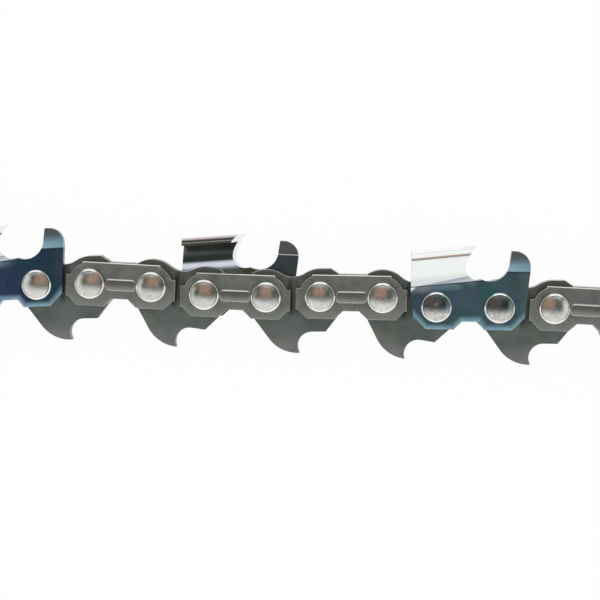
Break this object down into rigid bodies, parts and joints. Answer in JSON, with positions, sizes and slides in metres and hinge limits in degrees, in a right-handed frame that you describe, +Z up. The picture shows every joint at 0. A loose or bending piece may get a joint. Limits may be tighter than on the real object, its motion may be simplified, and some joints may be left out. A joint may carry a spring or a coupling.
{
  "type": "chainsaw chain loop",
  "caption": "Closed loop of low-profile saw chain: drive links with tangs, riveted tie straps, and left and right cutters by turns, lying on its side.",
  "frame": {"origin": "centre of the loop, on the surface that it lies on", "axes": "+X along the run and the cutting direction of the run at +Y, +Z up along the rivets"},
  "size_m": [0.2164, 0.1296, 0.0065],
  "materials": {
    "drive_link_steel": "tumbled dark steel with a greenish cast",
    "strap_steel": "tumbled dark oxide steel with bright edges and bright rivet heads",
    "cutter_steel": "blued steel body with a bright chromed side plate and top plate"
  },
  "bodies": {
    "right_cutter_link_01": {"right_cutter_link_01": "cutter_steel"},
    "drive_link_01": {"drive_link_01": "drive_link_steel"},
    "tie_link_02": {"tie_link_02": "strap_steel"},
    "drive_link_02": {"drive_link_02": "drive_link_steel"},
    "left_cutter_link_03": {"left_cutter_link_03": "cutter_steel"},
    "drive_link_03": {"drive_link_03": "drive_link_steel"},
    "tie_link_04": {"tie_link_04": "strap_steel"},
    "drive_link_04": {"drive_link_04": "drive_link_steel"},
    "right_cutter_link_05": {"right_cutter_link_05": "cutter_steel"},
    "drive_link_05": {"drive_link_05": "drive_link_steel"},
    "tie_link_06": {"tie_link_06": "strap_steel"},
    "drive_link_06": {"drive_link_06": "drive_link_steel"},
    "left_cutter_link_07": {"left_cutter_link_07": "cutter_steel"},
    "drive_link_07": {"drive_link_07": "drive_link_steel"},
    "tie_link_08": {"tie_link_08": "strap_steel"},
    "drive_link_08": {"drive_link_08": "drive_link_steel"},
    "right_cutter_link_09": {"right_cutter_link_09": "cutter_steel"},
    "drive_link_09": {"drive_link_09": "drive_link_steel"},
    "tie_link_10": {"tie_link_10": "strap_steel"},
    "drive_link_10": {"drive_link_10": "drive_link_steel"},
    "left_cutter_link_11": {"left_cutter_link_11": "cutter_steel"},
    "drive_link_11": {"drive_link_11": "drive_link_steel"},
    "tie_link_12": {"tie_link_12": "strap_steel"},
    "drive_link_12": {"drive_link_12": "drive_link_steel"},
    "right_cutter_link_13": {"right_cutter_link_13": "cutter_steel"},
    "drive_link_13": {"drive_link_13": "drive_link_steel"},
    "tie_link_14": {"tie_link_14": "strap_steel"},
    "drive_link_14": {"drive_link_14": "drive_link_steel"},
    "left_cutter_link_15": {"left_cutter_link_15": "cutter_steel"},
    "drive_link_15": {"drive_link_15": "drive_link_steel"},
    "tie_link_16": {"tie_link_16": "strap_steel"},
    "drive_link_16": {"drive_link_16": "drive_link_steel"},
    "right_cutter_link_17": {"right_cutter_link_17": "cutter_steel"},
    "drive_link_17": {"drive_link_17": "drive_link_steel"},
    "tie_link_18": {"tie_link_18": "strap_steel"},
    "drive_link_18": {"drive_link_18": "drive_link_steel"},
    "left_cutter_link_19": {"left_cutter_link_19": "cutter_steel"},
    "drive_link_19": {"drive_link_19": "drive_link_steel"},
    "tie_link_20": {"tie_link_20": "strap_steel"},
    "drive_link_20": {"drive_link_20": "drive_link_steel"},
    "right_cutter_link_21": {"right_cutter_link_21": "cutter_steel"},
    "drive_link_21": {"drive_link_21": "drive_link_steel"},
    "tie_link_22": {"tie_link_22": "strap_steel"},
    "drive_link_22": {"drive_link_22": "drive_link_steel"},
    "left_cutter_link_23": {"left_cutter_link_23": "cutter_steel"},
    "drive_link_23": {"drive_link_23": "drive_link_steel"},
    "tie_link_24": {"tie_link_24": "strap_steel"},
    "drive_link_24": {"drive_link_24": "drive_link_steel"},
    "right_cutter_link_25": {"right_cutter_link_25": "cutter_steel"},
    "drive_link_25": {"drive_link_25": "drive_link_steel"},
    "tie_link_26": {"tie_link_26": "strap_steel"},
    "drive_link_26": {"drive_link_26": "drive_link_steel"},
    "left_cutter_link_27": {"left_cutter_link_27": "cutter_steel"},
    "drive_link_27": {"drive_link_27": "drive_link_steel"},
    "tie_link_28": {"tie_link_28": "strap_steel"},
    "drive_link_28": {"drive_link_28": "drive_link_steel"}
  },
  "joints": [
    {"name": "pivot_05", "type": "hinge", "parent": "left_cutter_link_03", "child": "drive_link_03", "pos_m": [-0.00677, 0.05486, 0.00325], "axis": [0, 0, -1], "range_deg": [-5, 12]},
    {"name": "pivot_06", "type": "hinge", "parent": "drive_link_03", "child": "tie_link_04", "pos_m": [0.00187, 0.05536, 0.00325], "axis": [0, 0, -1], "range_deg": [-16.7, 23.3]},
    {"name": "pivot_07", "type": "hinge", "parent": "tie_link_04", "child": "drive_link_04", "pos_m": [0.01185, 0.05564, 0.00325], "axis": [0, 0, -1], "range_deg": [-23.6, 16.4]},
    {"name": "pivot_08", "type": "hinge", "parent": "drive_link_04", "child": "right_cutter_link_05", "pos_m": [0.02045, 0.05459, 0.00325], "axis": [0, 0, -1], "range_deg": [-6.1, 33.9]},
    {"name": "pivot_09", "type": "hinge", "parent": "right_cutter_link_05", "child": "drive_link_05", "pos_m": [0.03042, 0.05492, 0.00325], "axis": [0, 0, -1], "range_deg": [-14.9, 25.1]},
    {"name": "pivot_10", "type": "hinge", "parent": "drive_link_05", "child": "tie_link_06", "pos_m": [0.03908, 0.05522, 0.00325], "axis": [0, 0, -1], "range_deg": [-17.4, 22.6]},
    {"name": "pivot_11", "type": "hinge", "parent": "tie_link_06", "child": "drive_link_06", "pos_m": [0.04906, 0.05515, 0.00325], "axis": [0, 0, -1], "range_deg": [-24.67, 15.33]},
    {"name": "pivot_12", "type": "hinge", "parent": "drive_link_06", "child": "left_cutter_link_07", "pos_m": [0.05758, 0.05363, 0.00325], "axis": [0, 0, -1], "range_deg": [-24.67, 15.33]},
    {"name": "pivot_13", "type": "hinge", "parent": "left_cutter_link_07", "child": "drive_link_07", "pos_m": [0.06698, 0.05026, 0.00325], "axis": [0, 0, -1], "range_deg": [-24.67, 15.33]},
    {"name": "pivot_14", "type": "hinge", "parent": "drive_link_07", "child": "tie_link_08", "pos_m": [0.07452, 0.04601, 0.00325], "axis": [0, 0, -1], "range_deg": [-24.67, 15.33]},
    {"name": "pivot_15", "type": "hinge", "parent": "tie_link_08", "child": "drive_link_08", "pos_m": [0.08226, 0.03972, 0.00325], "axis": [0, 0, -1], "range_deg": [-24.67, 15.33]},
    {"name": "pivot_16", "type": "hinge", "parent": "drive_link_08", "child": "right_cutter_link_09", "pos_m": [0.08797, 0.03321, 0.00325], "axis": [0, 0, -1], "range_deg": [-24.67, 15.33]},
    {"name": "pivot_17", "type": "hinge", "parent": "right_cutter_link_09", "child": "drive_link_09", "pos_m": [0.0932, 0.0247, 0.00325], "axis": [0, 0, -1], "range_deg": [-24.67, 15.33]},
    {"name": "pivot_18", "type": "hinge", "parent": "drive_link_09", "child": "tie_link_10", "pos_m": [0.09643, 0.01667, 0.00325], "axis": [0, 0, -1], "range_deg": [-24.67, 15.33]},
    {"name": "pivot_19", "type": "hinge", "parent": "tie_link_10", "child": "drive_link_10", "pos_m": [0.09854, 0.00691, 0.00325], "axis": [0, 0, -1], "range_deg": [-24.67, 15.33]},
    {"name": "pivot_20", "type": "hinge", "parent": "drive_link_10", "child": "left_cutter_link_11", "pos_m": [0.09893, -0.00174, 0.00325], "axis": [0, 0, -1], "range_deg": [-24.67, 15.33]},
    {"name": "pivot_21", "type": "hinge", "parent": "left_cutter_link_11", "child": "drive_link_11", "pos_m": [0.09769, -0.01164, 0.00325], "axis": [0, 0, -1], "range_deg": [-24.67, 15.33]},
    {"name": "pivot_22", "type": "hinge", "parent": "drive_link_11", "child": "tie_link_12", "pos_m": [0.09519, -0.01993, 0.00325], "axis": [0, 0, -1], "range_deg": [-24.67, 15.33]},
    {"name": "pivot_23", "type": "hinge", "parent": "tie_link_12", "child": "drive_link_12", "pos_m": [0.09074, -0.02887, 0.00325], "axis": [0, 0, -1], "range_deg": [-24.67, 15.33]},
    {"name": "pivot_24", "type": "hinge", "parent": "drive_link_12", "child": "right_cutter_link_13", "pos_m": [0.08563, -0.03586, 0.00325], "axis": [0, 0, -1], "range_deg": [-24.67, 15.33]},
    {"name": "pivot_25", "type": "hinge", "parent": "right_cutter_link_13", "child": "drive_link_13", "pos_m": [0.07847, -0.04282, 0.00325], "axis": [0, 0, -1], "range_deg": [-24.67, 15.33]},
    {"name": "pivot_26", "type": "hinge", "parent": "drive_link_13", "child": "tie_link_14", "pos_m": [0.07134, -0.04772, 0.00325], "axis": [0, 0, -1], "range_deg": [-24.67, 15.33]},
    {"name": "pivot_27", "type": "hinge", "parent": "tie_link_14", "child": "drive_link_14", "pos_m": [0.06228, -0.05192, 0.00325], "axis": [0, 0, -1], "range_deg": [-24.67, 15.33]},
    {"name": "pivot_28", "type": "hinge", "parent": "drive_link_14", "child": "left_cutter_link_15", "pos_m": [0.05392, -0.05418, 0.00325], "axis": [0, 0, -1], "range_deg": [-24.67, 15.33]},
    {"name": "pivot_29", "type": "hinge", "parent": "left_cutter_link_15", "child": "drive_link_15", "pos_m": [0.04399, -0.05514, 0.00325], "axis": [0, 0, -1], "range_deg": [-16.6, 23.4]},
    {"name": "pivot_30", "type": "hinge", "parent": "drive_link_15", "child": "tie_link_16", "pos_m": [0.03535, -0.05573, 0.00325], "axis": [0, 0, -1], "range_deg": [-19.4, 20.6]},
    {"name": "pivot_31", "type": "hinge", "parent": "tie_link_16", "child": "drive_link_16", "pos_m": [0.02537, -0.05564, 0.00325], "axis": [0, 0, -1], "range_deg": [-20, 20]},
    {"name": "pivot_32", "type": "hinge", "parent": "drive_link_16", "child": "right_cutter_link_17", "pos_m": [0.01675, -0.05481, 0.00325], "axis": [0, 0, -1], "range_deg": [-9.2, 30.8]},
    {"name": "pivot_04", "type": "hinge", "parent": "left_cutter_link_03", "child": "drive_link_02", "pos_m": [-0.01675, 0.05481, 0.00325], "axis": [0, 0, 1], "range_deg": [-9.2, 30.8]},
    {"name": "pivot_03", "type": "hinge", "parent": "drive_link_02", "child": "tie_link_02", "pos_m": [-0.02537, 0.05564, 0.00325], "axis": [0, 0, 1], "range_deg": [-20, 20]},
    {"name": "pivot_02", "type": "hinge", "parent": "tie_link_02", "child": "drive_link_01", "pos_m": [-0.03535, 0.05573, 0.00325], "axis": [0, 0, 1], "range_deg": [-19.4, 20.6]},
    {"name": "pivot_01", "type": "hinge", "parent": "drive_link_01", "child": "right_cutter_link_01", "pos_m": [-0.04399, 0.05514, 0.00325], "axis": [0, 0, 1], "range_deg": [-16.6, 23.4]},
    {"name": "pivot_56", "type": "hinge", "parent": "right_cutter_link_01", "child": "drive_link_28", "pos_m": [-0.05392, 0.05418, 0.00325], "axis": [0, 0, 1], "range_deg": [-24.67, 15.33]},
    {"name": "pivot_55", "type": "hinge", "parent": "drive_link_28", "child": "tie_link_28", "pos_m": [-0.06228, 0.05192, 0.00325], "axis": [0, 0, 1], "range_deg": [-24.67, 15.33]},
    {"name": "pivot_54", "type": "hinge", "parent": "tie_link_28", "child": "drive_link_27", "pos_m": [-0.07134, 0.04772, 0.00325], "axis": [0, 0, 1], "range_deg": [-24.67, 15.33]},
    {"name": "pivot_53", "type": "hinge", "parent": "drive_link_27", "child": "left_cutter_link_27", "pos_m": [-0.07847, 0.04282, 0.00325], "axis": [0, 0, 1], "range_deg": [-24.67, 15.33]},
    {"name": "pivot_52", "type": "hinge", "parent": "left_cutter_link_27", "child": "drive_link_26", "pos_m": [-0.08563, 0.03586, 0.00325], "axis": [0, 0, 1], "range_deg": [-24.67, 15.33]},
    {"name": "pivot_51", "type": "hinge", "parent": "drive_link_26", "child": "tie_link_26", "pos_m": [-0.09074, 0.02887, 0.00325], "axis": [0, 0, 1], "range_deg": [-24.67, 15.33]},
    {"name": "pivot_50", "type": "hinge", "parent": "tie_link_26", "child": "drive_link_25", "pos_m": [-0.09519, 0.01993, 0.00325], "axis": [0, 0, 1], "range_deg": [-24.67, 15.33]},
    {"name": "pivot_49", "type": "hinge", "parent": "drive_link_25", "child": "right_cutter_link_25", "pos_m": [-0.09769, 0.01164, 0.00325], "axis": [0, 0, 1], "range_deg": [-24.67, 15.33]},
    {"name": "pivot_48", "type": "hinge", "parent": "right_cutter_link_25", "child": "drive_link_24", "pos_m": [-0.09893, 0.00174, 0.00325], "axis": [0, 0, 1], "range_deg": [-24.67, 15.33]},
    {"name": "pivot_47", "type": "hinge", "parent": "drive_link_24", "child": "tie_link_24", "pos_m": [-0.09854, -0.00691, 0.00325], "axis": [0, 0, 1], "range_deg": [-24.67, 15.33]},
    {"name": "pivot_46", "type": "hinge", "parent": "tie_link_24", "child": "drive_link_23", "pos_m": [-0.09643, -0.01667, 0.00325], "axis": [0, 0, 1], "range_deg": [-24.67, 15.33]},
    {"name": "pivot_45", "type": "hinge", "parent": "drive_link_23", "child": "left_cutter_link_23", "pos_m": [-0.0932, -0.0247, 0.00325], "axis": [0, 0, 1], "range_deg": [-24.67, 15.33]},
    {"name": "pivot_44", "type": "hinge", "parent": "left_cutter_link_23", "child": "drive_link_22", "pos_m": [-0.08797, -0.03321, 0.00325], "axis": [0, 0, 1], "range_deg": [-24.67, 15.33]},
    {"name": "pivot_43", "type": "hinge", "parent": "drive_link_22", "child": "tie_link_22", "pos_m": [-0.08226, -0.03972, 0.00325], "axis": [0, 0, 1], "range_deg": [-24.67, 15.33]},
    {"name": "pivot_42", "type": "hinge", "parent": "tie_link_22", "child": "drive_link_21", "pos_m": [-0.07452, -0.04601, 0.00325], "axis": [0, 0, 1], "range_deg": [-24.67, 15.33]},
    {"name": "pivot_41", "type": "hinge", "parent": "drive_link_21", "child": "right_cutter_link_21", "pos_m": [-0.06698, -0.05026, 0.00325], "axis": [0, 0, 1], "range_deg": [-24.67, 15.33]},
    {"name": "pivot_40", "type": "hinge", "parent": "right_cutter_link_21", "child": "drive_link_20", "pos_m": [-0.05758, -0.05363, 0.00325], "axis": [0, 0, 1], "range_deg": [-24.67, 15.33]},
    {"name": "pivot_39", "type": "hinge", "parent": "drive_link_20", "child": "tie_link_20", "pos_m": [-0.04906, -0.05515, 0.00325], "axis": [0, 0, 1], "range_deg": [-24.67, 15.33]},
    {"name": "pivot_38", "type": "hinge", "parent": "tie_link_20", "child": "drive_link_19", "pos_m": [-0.03908, -0.05522, 0.00325], "axis": [0, 0, 1], "range_deg": [-17.4, 22.6]},
    {"name": "pivot_37", "type": "hinge", "parent": "drive_link_19", "child": "left_cutter_link_19", "pos_m": [-0.03042, -0.05492, 0.00325], "axis": [0, 0, 1], "range_deg": [-14.9, 25.1]},
    {"name": "pivot_36", "type": "hinge", "parent": "left_cutter_link_19", "child": "drive_link_18", "pos_m": [-0.02045, -0.05459, 0.00325], "axis": [0, 0, 1], "range_deg": [-6.1, 33.9]},
    {"name": "pivot_35", "type": "hinge", "parent": "drive_link_18", "child": "tie_link_18", "pos_m": [-0.01185, -0.05564, 0.00325], "axis": [0, 0, 1], "range_deg": [-23.6, 16.4]},
    {"name": "pivot_34", "type": "hinge", "parent": "tie_link_18", "child": "drive_link_17", "pos_m": [-0.00187, -0.05536, 0.00325], "axis": [0, 0, 1], "range_deg": [-16.7, 23.3]}
  ],
  "couplings": [
    {"joint": "pivot_06", "follows": "pivot_05", "ratio": 1},
    {"joint": "pivot_07", "follows": "pivot_05", "ratio": 1},
    {"joint": "pivot_08", "follows": "pivot_05", "ratio": 1},
    {"joint": "pivot_09", "follows": "pivot_05", "ratio": 1},
    {"joint": "pivot_10", "follows": "pivot_05", "ratio": 1},
    {"joint": "pivot_11", "follows": "pivot_05", "ratio": -0.55556},
    {"joint": "pivot_12", "follows": "pivot_05", "ratio": -0.55556},
    {"joint": "pivot_13", "follows": "pivot_05", "ratio": -0.55556},
    {"joint": "pivot_14", "follows": "pivot_05", "ratio": -0.55556},
    {"joint": "pivot_15", "follows": "pivot_05", "ratio": -0.55556},
    {"joint": "pivot_16", "follows": "pivot_05", "ratio": -0.55556},
    {"joint": "pivot_17", "follows": "pivot_05", "ratio": -0.55556},
    {"joint": "pivot_18", "follows": "pivot_05", "ratio": -0.55556},
    {"joint": "pivot_19", "follows": "pivot_05", "ratio": -0.55556},
    {"joint": "pivot_20", "follows": "pivot_05", "ratio": -0.55556},
    {"joint": "pivot_21", "follows": "pivot_05", "ratio": -0.55556},
    {"joint": "pivot_22", "follows": "pivot_05", "ratio": -0.55556},
    {"joint": "pivot_23", "follows": "pivot_05", "ratio": -0.55556},
    {"joint": "pivot_24", "follows": "pivot_05", "ratio": -0.55556},
    {"joint": "pivot_25", "follows": "pivot_05", "ratio": -0.55556},
    {"joint": "pivot_26", "follows": "pivot_05", "ratio": -0.55556},
    {"joint": "pivot_27", "follows": "pivot_05", "ratio": -0.55556},
    {"joint": "pivot_28", "follows": "pivot_05", "ratio": -0.55556},
    {"joint": "pivot_29", "follows": "pivot_05", "ratio": 1},
    {"joint": "pivot_30", "follows": "pivot_05", "ratio": 1},
    {"joint": "pivot_31", "follows": "pivot_05", "ratio": 1},
    {"joint": "pivot_32", "follows": "pivot_05", "ratio": 1},
    {"joint": "pivot_04", "follows": "pivot_05", "ratio": 1},
    {"joint": "pivot_03", "follows": "pivot_05", "ratio": 1},
    {"joint": "pivot_02", "follows": "pivot_05", "ratio": 1},
    {"joint": "pivot_01", "follows": "pivot_05", "ratio": 1},
    {"joint": "pivot_56", "follows": "pivot_05", "ratio": -0.55556},
    {"joint": "pivot_55", "follows": "pivot_05", "ratio": -0.55556},
    {"joint": "pivot_54", "follows": "pivot_05", "ratio": -0.55556},
    {"joint": "pivot_53", "follows": "pivot_05", "ratio": -0.55556},
    {"joint": "pivot_52", "follows": "pivot_05", "ratio": -0.55556},
    {"joint": "pivot_51", "follows": "pivot_05", "ratio": -0.55556},
    {"joint": "pivot_50", "follows": "pivot_05", "ratio": -0.55556},
    {"joint": "pivot_49", "follows": "pivot_05", "ratio": -0.55556},
    {"joint": "pivot_48", "follows": "pivot_05", "ratio": -0.55556},
    {"joint": "pivot_47", "follows": "pivot_05", "ratio": -0.55556},
    {"joint": "pivot_46", "follows": "pivot_05", "ratio": -0.55556},
    {"joint": "pivot_45", "follows": "pivot_05", "ratio": -0.55556},
    {"joint": "pivot_44", "follows": "pivot_05", "ratio": -0.55556},
    {"joint": "pivot_43", "follows": "pivot_05", "ratio": -0.55556},
    {"joint": "pivot_42", "follows": "pivot_05", "ratio": -0.55556},
    {"joint": "pivot_41", "follows": "pivot_05", "ratio": -0.55556},
    {"joint": "pivot_40", "follows": "pivot_05", "ratio": -0.55556},
    {"joint": "pivot_39", "follows": "pivot_05", "ratio": -0.55556},
    {"joint": "pivot_38", "follows": "pivot_05", "ratio": 1},
    {"joint": "pivot_37", "follows": "pivot_05", "ratio": 1},
    {"joint": "pivot_36", "follows": "pivot_05", "ratio": 1},
    {"joint": "pivot_35", "follows": "pivot_05", "ratio": 1},
    {"joint": "pivot_34", "follows": "pivot_05", "ratio": 1}
  ]
}
